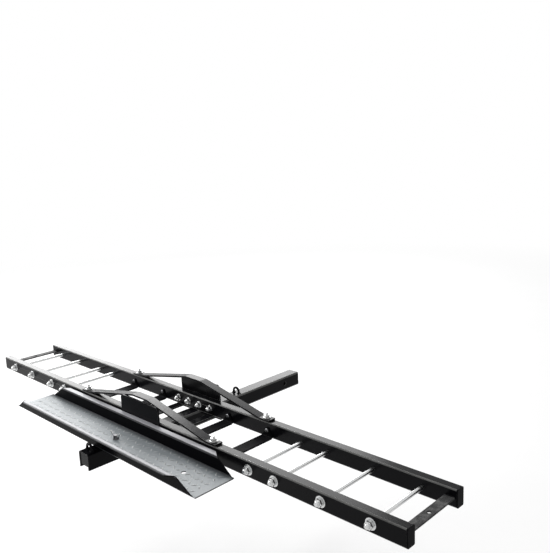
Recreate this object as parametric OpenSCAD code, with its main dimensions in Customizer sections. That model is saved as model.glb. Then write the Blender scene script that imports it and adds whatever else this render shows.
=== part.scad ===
// Hitch motorcycle carrier: a two-rail wheel track on a square hitch bar.
// Its loading ramp is stored on an arm in front.
// Millimetres. +X runs along the track to the right, +Y along the bar to its free end, +Z up.
// The origin is the centre of the pin hole, on the bar's axis.

/* [Hitch bar] */
// Outside width and height of the square bar (a 2 inch shank)
beam_size = 50.8; // [38:0.1:64]
// Wall thickness of the bar
beam_wall = 5; // [3:0.5:7]
// Outside corner radius of the bar
beam_corner = 5.5; // [1:0.5:8]
// Diameter of the pin hole across the bar (5/8 inch size)
pin_hole_d = 16.5; // [13:0.1:20]
// Length of bar past the pin hole, to its free end
shank_past_pin = 76; // [40:1:120]
// Distance from the pin hole to the middle of the track
pin_to_track = 510; // [420:1:640]

/* [Track] */
// Length of the track over both end plugs
track_length = 1960; // [1800:1:2200]
// Width of the track over both rails
track_w = 240; // [216:1:300]
// Width of one rail tube
rail_w = 28; // [22:0.5:40]
// Height of one rail tube
rail_h = 48; // [42:0.5:60]
// Wall thickness of a rail tube
rail_wall = 2.5; // [1.5:0.1:4]
// Outside corner radius of a rail tube
rail_corner = 3.5; // [1:0.5:6]
// Gap between the two halves of a rail at the middle
splice_gap = 2; // [0.5:0.5:6]
// Thickness of the end plug's visible cap
plug_cap = 4; // [2:0.5:8]
// Length of the end plug inside the tube
plug_depth = 14; // [8:1:30]
// Gap all round between the plug and the tube's inside
plug_gap = 0.3; // [0.1:0.05:0.6]

/* [Saddle] */
// Width of a saddle plate, along the track
saddle_w = 200; // [180:1:260]
// Height of a saddle plate above the rail
saddle_rise = 50; // [30:1:70]
// Depth of a saddle plate below the rail, beside the bar
saddle_drop = 22; // [14:1:40]
// Thickness of a saddle plate
saddle_t = 6; // [4:0.5:8]
// Radius of a saddle plate's top corners
saddle_corner = 14; // [4:1:25]
// Distance from the middle to each cross strap's middle
strap_x = 81; // [70:1:84]
// Width of a cross strap
strap_w = 30; // [20:1:34]
// Thickness of a cross strap
strap_t = 6; // [4:0.5:8]
// Distance from the middle to the inner and the outer saddle bolts
saddle_bolt_x = [28, 82.5]; // [20:0.5:90]
// Diameter of the saddle bolts and the bridge bolts
bolt_d = 10; // [8:1:12]

/* [Bridge bars] */
// Height of a bridge bar's top over the rail
bridge_rise = 61; // [56:1:80]
// Half of the length of the level top
bridge_level = 38; // [20:1:60]
// Distance from the middle to the start of a foot
bridge_foot_x = 314; // [280:1:400]
// Length of a foot
bridge_foot = 42; // [34:1:60]
// Thickness of a bridge bar
bridge_t = 6; // [4:0.5:8]
// Inside radius of a bridge bar's bends
bridge_bend = 20; // [6:1:40]

/* [Rungs and end bars] */
// Distance from the middle to the inner and the outer rung
rung_x = [174, 350]; // [150:1:390]
// Width of a rung
rung_w = 42; // [36:1:60]
// Thickness of a rung
rung_t = 5; // [3:0.5:6]
// Inside radius of the bend between a rung and its ears
rung_bend = 4; // [2:0.5:6]
// Height of the screw in a rung's upturned ear
rung_screw_z = 23; // [19:0.5:26]
// Radius of the ear's round top
rung_ear_r = 8; // [7.5:0.5:9]
// Diameter of a rung screw
rung_screw_d = 8; // [6:1:8]
// Width of an end bar
end_bar_w = 27; // [22:1:40]
// Thickness of an end bar
end_bar_t = 5; // [3:0.5:8]
// Depth of an end bar's top below the rail's top
end_bar_depth = 21; // [12:0.5:28]
// Distance from the track's end to an end bar
end_bar_inset = 8; // [6:1:24]
// Diameter of the hole in the middle of an end bar
end_hole_d = 12; // [8:0.5:14]

/* [Wheel rods] */
// Distance from the track's end to each wheel rod
rod_from_end = [491, 397, 242, 96]; // [60:1:540]
// Diameter of a wheel rod
rod_d = 12; // [10:1:14]
// Depth of a wheel rod's axis below the rail's top
rod_depth = 24; // [20:0.5:28]
// Outside diameter of a rod washer
rod_washer_d = 30; // [26:1:34]
// Thickness of a washer
washer_t = 2.5; // [1.5:0.5:4]
// Length of thread standing out of a nut
stub = 7; // [3:0.5:12]

/* [Ramp] */
// Length of the ramp
ramp_length = 984; // [900:1:1100]
// Width of the ramp's floor
ramp_w = 136; // [124:1:160]
// Thickness of the ramp's sheet
ramp_t = 3; // [2:0.5:4]
// Height of the ramp's side flanges
ramp_h = 42; // [40:1:48]
// Outward lean of the side flanges, in degrees
ramp_lean = 6; // [2:1:12]
// Width of the lips along the flanges
ramp_lip = 16; // [10:1:20]
// Inside radius of the ramp's folds
ramp_fold = 3; // [1:0.5:6]
// Length of the slanted cut at each flange's end
ramp_cut = 62; // [40:1:90]
// Length of bare floor past each flange's tip
ramp_toe = 10; // [6:1:30]
// Length of the slanted cut at each lip's end
lip_cut = 24; // [10:1:40]
// Free gap between the ramp's lip and the near saddle plate
ramp_gap = 2; // [1:0.5:12]
// Distance from the wing screw to the ramp's middle, to the left
ramp_shift = 30; // [0:1:40]
// Diameter of the hole near the ramp's right end
ramp_hole_d = 15; // [10:0.5:20]
// Distance from the ramp's middle to that hole
ramp_hole_x = 363; // [300:1:400]

/* [Ramp arm and loops] */
// Length of arm past the ramp's floor
arm_past = 44; // [40:1:80]
// Sheet thickness of the arm
arm_t = 4; // [3:0.5:6]
// Inside radius of the arm's folds
arm_fold = 2; // [1:0.5:4]
// Distance of the end plate from the arm's end
arm_plate_inset = 2; // [0:0.5:6]
// Height of the arm's legs below its end plate
arm_notch = 9; // [4:1:16]
// Diameter of a tie-down loop's bar
loop_bar_d = 8; // [6:0.5:10]
// Radius of a tie-down loop, to the bar's middle
loop_r = 13; // [10:0.5:16]
// Straight height of a tie-down loop's legs
loop_leg = 7; // [4:0.5:14]
// Distance from the track's middle to the far loop
loop_far_y = 284; // [180:1:360]

/* [Wing screw] */
// Diameter of the wing screw's shank
wing_d = 10; // [8:1:12]
// Length of the shank below the ramp's floor
wing_reach = 30; // [16:1:38]
// Diameter of the wing screw's hub
wing_hub_d = 18; // [16:1:22]
// Height of the hub
wing_hub_h = 13; // [9:1:18]
// Width over both wings
wing_span = 50; // [40:1:60]
// Thickness of a wing
wing_t = 4; // [3:0.5:5]

/* [Fits] */
// Extra diameter of a hole over the bolt or rod in it
hole_gap = 1; // [0.6:0.1:1.6]
// Gap all round between a thread and its nut or washer
thread_gap = 0.15; // [0.1:0.05:0.3]
// Length of a rung screw past the rail's wall
rung_screw_past = 5; // [2:0.5:10]

/* [Hidden] */
$fn = 64;
// Least inside corner radius of a tube
least_r = 0.5;
// Corner radius of a plug inside the tube
plug_r = 1.2;
// Steps along the arc of a bend
bend_steps = 6;
// Extra length of a cutter past a face, and of a shank into its head
over = 1;
NEAR = -1;
FAR = 1;
LEFT = -1;
RIGHT = 1;
SIDES = [NEAR, FAR];
ENDS = [LEFT, RIGHT];
paint = [0.06, 0.06, 0.07];
zinc = [0.78, 0.79, 0.80];
tread = [0.66, 0.69, 0.70];
plastic = [0.03, 0.03, 0.03];
beam_top = beam_size / 2;
rail_bottom = beam_top;
rail_top = rail_bottom + rail_h;
track_y = -pin_to_track;
inner_w = track_w - 2 * rail_w;
half_track = track_length / 2;
rail_end = half_track - plug_cap;
saddle_z0 = rail_bottom - saddle_drop;
saddle_z1 = rail_top + saddle_rise;
saddle_bolt_z = rail_bottom + rail_h / 2;
saddle_out = track_w / 2 + saddle_t;
rod_z = rail_top - rod_depth;
rod_x = [for (d = rod_from_end) half_track - d];
end_bar_x = half_track - end_bar_inset - end_bar_w / 2;
end_bar_z = rail_top - end_bar_depth - end_bar_t;
bridge_end_x = bridge_foot_x + bridge_foot;
bridge_bolt_x = bridge_foot_x + bridge_foot / 2;
head_r = bolt_d;
head_h = bolt_d / 2;
nut_w = 1.7 * bolt_d;
nut_h = 0.8 * bolt_d;
bolt_washer_d = 2.3 * bolt_d;
rod_nut_w = 1.58 * rod_d;
rod_nut_h = 0.85 * rod_d;
rung_head_d = 1.6 * rung_screw_d;
rung_head_h = 0.5 * rung_screw_d;
ramp_spread = (ramp_h - ramp_t) * tan(ramp_lean);
ramp_out = ramp_w / 2 + ramp_spread + ramp_lip;
ramp_y = track_y - saddle_out - ramp_gap - ramp_out;
ramp_z = beam_top;
ramp_top_x = ramp_length / 2 - ramp_toe - ramp_cut;
arm_y1 = track_y - saddle_out;
arm_y0 = ramp_y - ramp_w / 2 - arm_past;
loop_near_y = arm_y0 + arm_past / 2;

// Middle of a rail across the track
function rail_y(side) = track_y + side * (track_w - rail_w) / 2;

// Outer face of a rail, on the given side of the track
function rail_face(side) = track_y + side * track_w / 2;

// Flat rectangle about its own middle, with round corners
module round_rect(w, h, r) {
    square([w - 2 * r, h], center = true);
    square([w, h - 2 * r], center = true);
    for (sx = [-1, 1], sy = [-1, 1])
        translate([sx * (w / 2 - r), sy * (h / 2 - r)])
            circle(r = r);
}

// Section of a rectangular tube
module tube_section(w, h, wall, r) {
    difference() {
        round_rect(w, h, r);
        round_rect(w - 2 * wall, h - 2 * wall, max(r - wall, least_r));
    }
}

// Direction of a line, and the direction to its left
function unit(v) = v / norm(v);
function left(v) = [-v[1], v[0]];

// Direction of a strip's run that ends at the given point
function run_to(points, i) = unit(points[i] - points[i - 1]);

// Points of the right half of an outline, with their mirror images put first
function both_ends(half) = concat([for (i = [len(half) - 1:-1:0]) [-half[i][0], half[i][1]]], half);

// Points of one face of a strip along the arc of a bend; r is the bend's inside radius
function bend_points(points, i, t, r, is_upper) =
    let (before = run_to(points, i))
    let (after = run_to(points, i + 1))
    let (turn = acos(before * after))
    let (up = left(before) * after > 0 ? 1 : -1)
    let (lower_r = up > 0 ? r + t : r)
    let (arc_r = is_upper ? 2 * r + t - lower_r : lower_r)
    let (middle = points[i] + unit(after - before) * lower_r / cos(turn / 2))
    let (start = atan2(before[1], before[0]) - up * 90)
    [for (k = [0:bend_steps])
        let (a = start + up * turn * k / bend_steps)
        middle + arc_r * [cos(a), sin(a)]];

// Points of one face of a strip, from its first end to its last
function face_points(points, t, r, is_upper) =
    let (last = len(points) - 1)
    let (lift = is_upper ? t : 0)
    concat([points[0] + lift * left(run_to(points, 1))],
           [for (i = [1:last - 1]) each bend_points(points, i, t, r, is_upper)],
           [points[last] + lift * left(run_to(points, last))]);

// Section of a bent strip: its lower face follows the points, and each bend is an arc inside and out
module bent_strip(points, t, r) {
    upper = face_points(points, t, r, true);
    polygon(concat(face_points(points, t, r, false), [for (i = [len(upper) - 1:-1:0]) upper[i]]));
}

// Places a section so that it runs along +X
module along_x(length) {
    rotate([90, 0, 90])
        linear_extrude(length)
            children();
}

// Places a section, drawn in X and Z, so that it runs along +Y
module along_y(length) {
    translate([0, length, 0])
        rotate([90, 0, 0])
            linear_extrude(length)
                children();
}

// Turns a part drawn along +Z to run outward along Y, on the given side
module outward(side) {
    rotate([-90 * side, 0, 0])
        children();
}

// Hexagonal nut standing on its lower face
module hex_nut(d, w, h) {
    difference() {
        cylinder(r = w / sqrt(3), h = h, $fn = 6);
        translate([0, 0, -over])
            cylinder(d = d + 2 * thread_gap, h = h + 2 * over);
    }
}

// Flat washer lying on its lower face
module washer(d, d_out) {
    difference() {
        cylinder(d = d_out, h = washer_t);
        translate([0, 0, -over])
            cylinder(d = d + 2 * thread_gap, h = washer_t + 2 * over);
    }
}

// Low round bolt head standing on its lower face
module dome_head(r, h) {
    ball = (r * r + h * h) / (2 * h);
    intersection() {
        translate([0, 0, h - ball])
            sphere(r = ball);
        cylinder(r = r, h = h);
    }
}

// Square bar from the ramp arm to the shank's end, with the pin hole across it
module main_beam() {
    length = shank_past_pin - arm_y1;
    color(paint)
        difference() {
            translate([0, arm_y1, 0])
                along_y(length)
                    tube_section(beam_size, beam_size, beam_wall, beam_corner);
            translate([-beam_size, 0, 0])
                rotate([0, 90, 0])
                    cylinder(d = pin_hole_d, h = 2 * beam_size);
        }
}

// Upright plate outside a rail, notched over the bar
module saddle_plate(side) {
    y0 = side == NEAR ? rail_face(NEAR) - saddle_t : rail_face(FAR);
    h = saddle_z1 - saddle_z0;
    color(paint)
        difference() {
            translate([0, y0, 0])
                along_y(saddle_t)
                    difference() {
                        union() {
                            translate([0, (saddle_z0 + saddle_z1) / 2])
                                round_rect(saddle_w, h, saddle_corner);
                            translate([-saddle_w / 2, saddle_z0])
                                square([saddle_w, h / 2]);
                        }
                        translate([-beam_size / 2, saddle_z0 - over])
                            square([beam_size, saddle_drop + over]);
                    }
            saddle_holes();
        }
}

// Cutters for the saddle bolts, right across the track
module saddle_holes() {
    for (s = ENDS, x = saddle_bolt_x)
        translate([s * x, track_y - track_w, saddle_bolt_z])
            outward(FAR)
                cylinder(d = bolt_d + hole_gap, h = 2 * track_w);
}

// Flat strap under the rails, from one saddle plate to the other
module saddle_strap(end) {
    color(paint)
        translate([end * strap_x - strap_w / 2, track_y - track_w / 2, rail_bottom - strap_t])
            cube([strap_w, track_w, strap_t]);
}

// Places a fastener at each saddle bolt, outward on each side, from the given distance off the track's middle
module at_saddle_bolts(from) {
    for (side = SIDES, s = ENDS, x = saddle_bolt_x)
        translate([s * x, track_y + side * from, saddle_bolt_z])
            outward(side)
                children();
}

// Round-headed bolts through each saddle plate and rail
module saddle_bolts() {
    reach = rail_w + saddle_t + washer_t + nut_h + stub;
    color(zinc)
        at_saddle_bolts(saddle_out) {
            union() {
                dome_head(head_r, head_h);
                translate([0, 0, -reach])
                    cylinder(d = bolt_d, h = reach + over);
            }
        }
}

// Washers on the inner face of each rail
module saddle_washers() {
    color(zinc)
        at_saddle_bolts(inner_w / 2 - washer_t)
            washer(bolt_d, bolt_washer_d);
}

// Nuts on those washers
module saddle_nuts() {
    color(zinc)
        at_saddle_bolts(inner_w / 2 - washer_t - nut_h)
            hex_nut(bolt_d, nut_w, nut_h);
}

// Cutters for the wheel rods of both ends
module rod_holes() {
    for (s = ENDS, x = rod_x)
        translate([s * x, track_y - track_w, rod_z])
            outward(FAR)
                cylinder(d = rod_d + hole_gap, h = 2 * track_w);
}

// Cutters for the bridge bolts, through both rails
module bridge_holes() {
    for (side = SIDES, s = ENDS)
        translate([s * bridge_bolt_x, rail_y(side), rail_bottom - over])
            cylinder(d = bolt_d + hole_gap, h = rail_h + bridge_t + 2 * over);
}

// Cutters for the rung screws, through the rails' inner walls
module rung_holes() {
    for (s = ENDS, x = rung_x)
        translate([s * x, track_y - inner_w / 2 - rail_w / 2, rail_bottom + rung_screw_z])
            outward(FAR)
                cylinder(d = rung_screw_d + hole_gap, h = inner_w + rail_w);
}

// One half of a rail: a rectangular tube from the splice to the end plug
module rail(side, end) {
    length = rail_end - splice_gap / 2;
    x0 = end == LEFT ? -rail_end : splice_gap / 2;
    color(paint)
        difference() {
            translate([x0, rail_y(side), rail_bottom + rail_h / 2])
                along_x(length)
                    tube_section(rail_w, rail_h, rail_wall, rail_corner);
            saddle_holes();
            rod_holes();
            bridge_holes();
            rung_holes();
        }
}

// Plastic plugs that close the rails' outer ends
module rail_plugs() {
    inside = 2 * (rail_wall + plug_gap);
    color(plastic)
        for (side = SIDES, end = ENDS)
            translate([end * rail_end, rail_y(side), rail_bottom + rail_h / 2])
                mirror([end == LEFT ? 1 : 0, 0, 0])
                    union() {
                        along_x(plug_cap)
                            round_rect(rail_w, rail_h, rail_corner);
                        translate([-plug_depth, 0, 0])
                            along_x(plug_depth + over)
                                round_rect(rail_w - inside, rail_h - inside, plug_r);
                    }
}

// Flat rung between the rails, with an ear bent up at each side for its screw
module rung(x) {
    ear = [inner_w / 2, rung_screw_z + rung_ear_r];
    color(paint)
        difference() {
            translate([x, track_y, rail_bottom])
                intersection() {
                    translate([-rung_w / 2, 0, 0])
                        along_x(rung_w)
                            bent_strip(both_ends([[ear[0], 0], ear]), rung_t, rung_bend);
                    translate([0, -inner_w, 0])
                        along_y(2 * inner_w)
                            rung_outline();
                }
            rung_holes();
        }
}

// Outline of a rung and its ears, seen along the ear's screw: wide at the rung, round about the screw
module rung_outline() {
    translate([0, rung_screw_z])
        circle(r = rung_ear_r);
    polygon([[-rung_w / 2, 0], [rung_w / 2, 0], [rung_w / 2, rung_t],
             [rung_ear_r, rung_screw_z], [-rung_ear_r, rung_screw_z], [-rung_w / 2, rung_t]]);
}

// Round-headed screws that hold the rungs' ears to the rails
module rung_screws() {
    reach = rung_t + rail_wall + rung_screw_past;
    color(zinc)
        for (side = SIDES, s = ENDS, x = rung_x)
            translate([s * x, track_y + side * (inner_w / 2 - rung_t), rail_bottom + rung_screw_z])
                outward(-side)
                    union() {
                        dome_head(rung_head_d / 2, rung_head_h);
                        translate([0, 0, -reach])
                            cylinder(d = rung_screw_d, h = reach + over);
                    }
}

// Flat bar across one end of the track, with a tie-down hole in its middle
module end_bar(end) {
    color(paint)
        difference() {
            translate([end * end_bar_x - end_bar_w / 2, track_y - inner_w / 2, end_bar_z])
                cube([end_bar_w, inner_w, end_bar_t]);
            translate([end * end_bar_x, track_y, end_bar_z - over])
                cylinder(d = end_hole_d, h = end_bar_t + 2 * over);
        }
}

// Wheel rods of one end, across both rails
module wheel_rods(end) {
    length = track_w + 2 * (washer_t + rod_nut_h + stub);
    color(zinc)
        for (x = rod_x)
            translate([end * x, track_y - length / 2, rod_z])
                outward(FAR)
                    cylinder(d = rod_d, h = length);
}

// Places a part at each end of each wheel rod, from the given distance off the track's middle
module at_rod_ends(from) {
    for (side = SIDES, s = ENDS, x = rod_x)
        translate([s * x, track_y + side * from, rod_z])
            outward(side)
                children();
}

// Wide washers on the rails' outer faces
module rod_washers() {
    color(zinc)
        at_rod_ends(track_w / 2)
            washer(rod_d, rod_washer_d);
}

// Nuts on those washers
module rod_nuts() {
    color(zinc)
        at_rod_ends(track_w / 2 + washer_t)
            hex_nut(rod_d, rod_nut_w, rod_nut_h);
}

// Bent flat bar over a rail's middle: two feet, two slopes and a level top
module bridge(side) {
    half = [[bridge_level, bridge_rise - bridge_t], [bridge_foot_x, 0], [bridge_end_x, 0]];
    color(paint)
        difference() {
            translate([0, rail_y(side) - rail_w / 2, rail_top])
                along_y(rail_w)
                    bent_strip(both_ends(half), bridge_t, bridge_bend);
            bridge_holes();
        }
}

// Places a part at each bridge foot, at the given height
module at_bridge_feet(z) {
    for (side = SIDES, s = ENDS)
        translate([s * bridge_bolt_x, rail_y(side), z])
            children();
}

// Bolts up through the rails and the bridge feet
module bridge_bolts() {
    reach = rail_h + bridge_t + washer_t + nut_h + stub;
    color(zinc)
        at_bridge_feet(rail_bottom)
            union() {
                rotate([180, 0, 0])
                    dome_head(head_r, head_h);
                translate([0, 0, -over])
                    cylinder(d = bolt_d, h = reach + over);
            }
}

// Washers on the bridge feet
module bridge_washers() {
    color(zinc)
        at_bridge_feet(rail_top + bridge_t)
            washer(bolt_d, bolt_washer_d);
}

// Nuts on those washers
module bridge_nuts() {
    color(zinc)
        at_bridge_feet(rail_top + bridge_t + washer_t)
            hex_nut(bolt_d, nut_w, nut_h);
}

// Arm that carries the stored ramp: a folded channel, open below, with an end plate
module ramp_arm() {
    length = arm_y1 - arm_y0;
    inside = beam_size - 2 * arm_t;
    half = [[beam_size / 2, 0], [beam_size / 2, beam_size]];
    color(paint)
        difference() {
            union() {
                translate([0, arm_y0, beam_top])
                    along_y(length)
                        mirror([0, 1])
                            bent_strip(both_ends(half), arm_t, arm_fold);
                translate([-inside / 2, arm_y0 + arm_plate_inset, arm_notch - beam_size / 2])
                    cube([inside, arm_t, beam_size - arm_notch - arm_t]);
            }
            translate([0, ramp_y, 0])
                cylinder(d = wing_d + hole_gap, h = beam_size);
        }
}

// Tie-down loop: a bent round bar standing across the hitch bar
module strap_loop(y) {
    color(paint)
        translate([0, y, beam_top])
            union() {
                for (s = ENDS)
                    translate([s * loop_r, 0, 0])
                        cylinder(d = loop_bar_d, h = loop_leg);
                translate([0, 0, loop_leg])
                    rotate([90, 0, 0])
                        difference() {
                            rotate_extrude()
                                translate([loop_r, 0])
                                    circle(d = loop_bar_d);
                            translate([-2 * loop_r, -4 * loop_r, -loop_r])
                                cube([4 * loop_r, 4 * loop_r, 2 * loop_r]);
                        }
            }
}

// Section of the folded ramp sheet: floor, two leaning flanges and their lips
module ramp_section() {
    fold_x = ramp_w / 2 + ramp_spread;
    fold_z = ramp_h - ramp_t;
    half = [[ramp_w / 2, 0], [fold_x, fold_z], [fold_x + ramp_lip, fold_z]];
    bent_strip(both_ends(half), ramp_t, ramp_fold);
}

// Cutter for one end of both flanges, above the floor, drawn at the right-hand end
module ramp_end_cut() {
    tip = ramp_length / 2 - ramp_toe;
    translate([0, -ramp_w, 0])
        along_y(2 * ramp_w)
            polygon([[tip, ramp_t], [ramp_top_x, ramp_h], [ramp_top_x, 2 * ramp_h],
                     [ramp_length, 2 * ramp_h], [ramp_length, ramp_t]]);
}

// Cutter for the slanted end of each lip, drawn at the right-hand end
module lip_end_cut() {
    inner = ramp_w / 2 + ramp_spread;
    for (s = SIDES)
        mirror([0, s == NEAR ? 1 : 0, 0])
            translate([0, 0, ramp_h / 2])
                linear_extrude(ramp_h)
                    polygon([[ramp_top_x, inner], [ramp_top_x - lip_cut, inner + ramp_lip + over],
                             [ramp_length, inner + ramp_lip + over], [ramp_length, inner]]);
}

// Loading ramp: a folded tread sheet, stored across the arm
module ramp() {
    color(tread)
        translate([-ramp_shift, ramp_y, ramp_z])
            difference() {
                translate([-ramp_length / 2, 0, 0])
                    along_x(ramp_length)
                        ramp_section();
                for (end = ENDS)
                    mirror([end == LEFT ? 1 : 0, 0, 0])
                        union() {
                            ramp_end_cut();
                            lip_end_cut();
                        }
                translate([ramp_shift, 0, -over])
                    cylinder(d = wing_d + hole_gap, h = ramp_t + 2 * over);
                translate([ramp_hole_x, 0, -over])
                    cylinder(d = ramp_hole_d, h = ramp_t + 2 * over);
            }
}

// Screw that holds the ramp down by hand: shank, hub and two wings
module wing_screw() {
    reach = wing_reach + ramp_t;
    color(zinc)
        translate([0, ramp_y, ramp_z + ramp_t])
            union() {
                translate([0, 0, -reach])
                    cylinder(d = wing_d, h = reach + over);
                cylinder(d = wing_hub_d, h = wing_hub_h);
                translate([0, -wing_t / 2, 0])
                    along_y(wing_t)
                        wing_outline();
            }
}

// Outline of both wings, seen from the front
module wing_outline() {
    lobe = wing_span / 5;
    lobe_z = wing_hub_h + lobe / 2;
    foot = wing_t / 2;
    for (s = [0, 1])
        mirror([s, 0]) {
            translate([wing_span / 2 - lobe, lobe_z])
                circle(r = lobe);
            polygon([[0, foot], [wing_hub_d / 2, foot], [wing_span / 2, lobe_z],
                     [wing_span / 2 - 2 * lobe, lobe_z], [0, wing_hub_h - over]]);
        }
}

main_beam();
saddle_plate(NEAR);  // saddle_plate_near
saddle_plate(FAR);  // saddle_plate_far
saddle_strap(LEFT);  // saddle_strap_left
saddle_strap(RIGHT);  // saddle_strap_right
saddle_bolts();
saddle_washers();
saddle_nuts();
rail(NEAR, LEFT);  // rail_near_left
rail(NEAR, RIGHT);  // rail_near_right
rail(FAR, LEFT);  // rail_far_left
rail(FAR, RIGHT);  // rail_far_right
rail_plugs();
rung(-rung_x[1]);  // rung_left_outer
rung(-rung_x[0]);  // rung_left_inner
rung(rung_x[0]);  // rung_right_inner
rung(rung_x[1]);  // rung_right_outer
rung_screws();
end_bar(LEFT);  // end_bar_left
end_bar(RIGHT);  // end_bar_right
wheel_rods(LEFT);  // wheel_rods_left
wheel_rods(RIGHT);  // wheel_rods_right
rod_washers();
rod_nuts();
bridge(NEAR);  // bridge_near
bridge(FAR);  // bridge_far
bridge_bolts();
bridge_washers();
bridge_nuts();
ramp_arm();
strap_loop(loop_near_y);  // strap_loop_near
strap_loop(track_y + loop_far_y);  // strap_loop_far
ramp();
wing_screw();
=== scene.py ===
"""Looks of a hitch motorcycle carrier over its CAD frame: finishes, soft edges, tread, threads and welds."""
import logging
import math
from collections.abc import Callable, Iterable, Iterator, Sequence
from dataclasses import dataclass, field
from enum import Enum
from itertools import product
from typing import TypeAlias

import bmesh
import bpy
from bmesh.types import BMEdge, BMesh, BMFace, BMVert
from bpy.types import Material, Mesh, Node, NodeSocket, Object, World
from mathutils import Matrix, Vector


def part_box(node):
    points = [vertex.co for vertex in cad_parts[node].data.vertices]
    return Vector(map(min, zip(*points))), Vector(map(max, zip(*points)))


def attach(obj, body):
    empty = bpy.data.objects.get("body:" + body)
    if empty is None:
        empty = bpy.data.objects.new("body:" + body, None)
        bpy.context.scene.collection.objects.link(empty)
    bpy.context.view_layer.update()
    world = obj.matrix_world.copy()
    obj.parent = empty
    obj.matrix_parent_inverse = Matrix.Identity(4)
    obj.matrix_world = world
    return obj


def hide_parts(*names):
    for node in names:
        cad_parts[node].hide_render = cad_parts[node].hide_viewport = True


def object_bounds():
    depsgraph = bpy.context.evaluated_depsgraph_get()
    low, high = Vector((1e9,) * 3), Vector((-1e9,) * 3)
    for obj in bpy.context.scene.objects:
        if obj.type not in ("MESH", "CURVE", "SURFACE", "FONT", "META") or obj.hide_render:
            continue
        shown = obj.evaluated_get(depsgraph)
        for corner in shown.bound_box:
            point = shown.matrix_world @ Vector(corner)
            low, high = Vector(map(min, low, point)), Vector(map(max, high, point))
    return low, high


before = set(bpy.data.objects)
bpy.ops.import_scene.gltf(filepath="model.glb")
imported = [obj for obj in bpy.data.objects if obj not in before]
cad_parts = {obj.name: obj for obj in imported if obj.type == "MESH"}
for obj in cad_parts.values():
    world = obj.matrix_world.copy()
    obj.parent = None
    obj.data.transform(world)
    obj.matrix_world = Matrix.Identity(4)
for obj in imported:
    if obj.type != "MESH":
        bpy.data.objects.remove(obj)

LOG = logging.getLogger("carrier")
CAD_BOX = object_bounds()
MM = 0.001
MERGE = 0.002 * MM
WHITE = (1.0, 1.0, 1.0)

Colour: TypeAlias = tuple[float, float, float]
Triple: TypeAlias = tuple[float, float, float]
Point: TypeAlias = tuple[float, float]
Band: TypeAlias = tuple[float, float]
Feed: TypeAlias = "Value | NodeSocket | float | tuple[float, ...]"


class Body(str, Enum):
    """Bodies of the frame that pieces ride on."""

    CARRIER = "carrier"
    RAMP = "ramp"
    WING_SCREW = "wing_screw"


class Slot(str, Enum):
    """Material slots of the record."""

    PAINT = "black_paint"
    TREAD = "tread_paint"
    ZINC = "zinc_plate"
    PLASTIC = "black_plastic"


class Way(int, Enum):
    """A way from the track's middle, as a sign that sizes are multiplied by."""

    @property
    def word(self) -> str:
        """Its word in the names of nodes."""
        return self.name.lower()


class Side(Way):
    """Sides of the track: near is the ramp's side, far is the side of the bar's free end."""

    NEAR = -1
    FAR = 1


class End(Way):
    """Ends of the track."""

    LEFT = -1
    RIGHT = 1


# Shader maths


class Value:
    """A number that varies over a surface: a shader socket with arithmetic."""

    def __init__(self, tree: "ShaderTree", socket: NodeSocket) -> None:
        """Keeps the tree that new nodes go into and the socket that gives the number."""
        self.tree = tree
        self.socket = socket

    def _math(self, operation: str, first: Feed, second: Feed) -> "Value":
        """Adds one Math node and gives its result."""
        return self.tree.value("ShaderNodeMath", 0, {"operation": operation}, {0: first, 1: second})

    def __add__(self, other: Feed) -> "Value":
        """Sum."""
        return self._math("ADD", self, other)

    def __radd__(self, other: Feed) -> "Value":
        """Sum, with the number first."""
        return self._math("ADD", other, self)

    def __sub__(self, other: Feed) -> "Value":
        """Difference."""
        return self._math("SUBTRACT", self, other)

    def __rsub__(self, other: Feed) -> "Value":
        """Difference, with the number first."""
        return self._math("SUBTRACT", other, self)

    def __mul__(self, other: Feed) -> "Value":
        """Product."""
        return self._math("MULTIPLY", self, other)

    def __rmul__(self, other: Feed) -> "Value":
        """Product, with the number first."""
        return self._math("MULTIPLY", other, self)

    def at_least(self, other: Feed) -> "Value":
        """The larger of this number and another."""
        return self._math("MAXIMUM", self, other)

    def spread(self, low: float, high: float) -> "Value":
        """Straight run from low, where this number is 0, to high, where it is 1."""
        return low + (high - low) * self

    def between(self, low: float, high: float) -> "Value":
        """Smooth step from 0, where this number is low, to 1, where it is high."""
        settings = {"interpolation_type": "SMOOTHSTEP"}
        return self.tree.value("ShaderNodeMapRange", 0, settings, {0: self, 1: low, 2: high, 3: 0.0, 4: 1.0})


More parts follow.
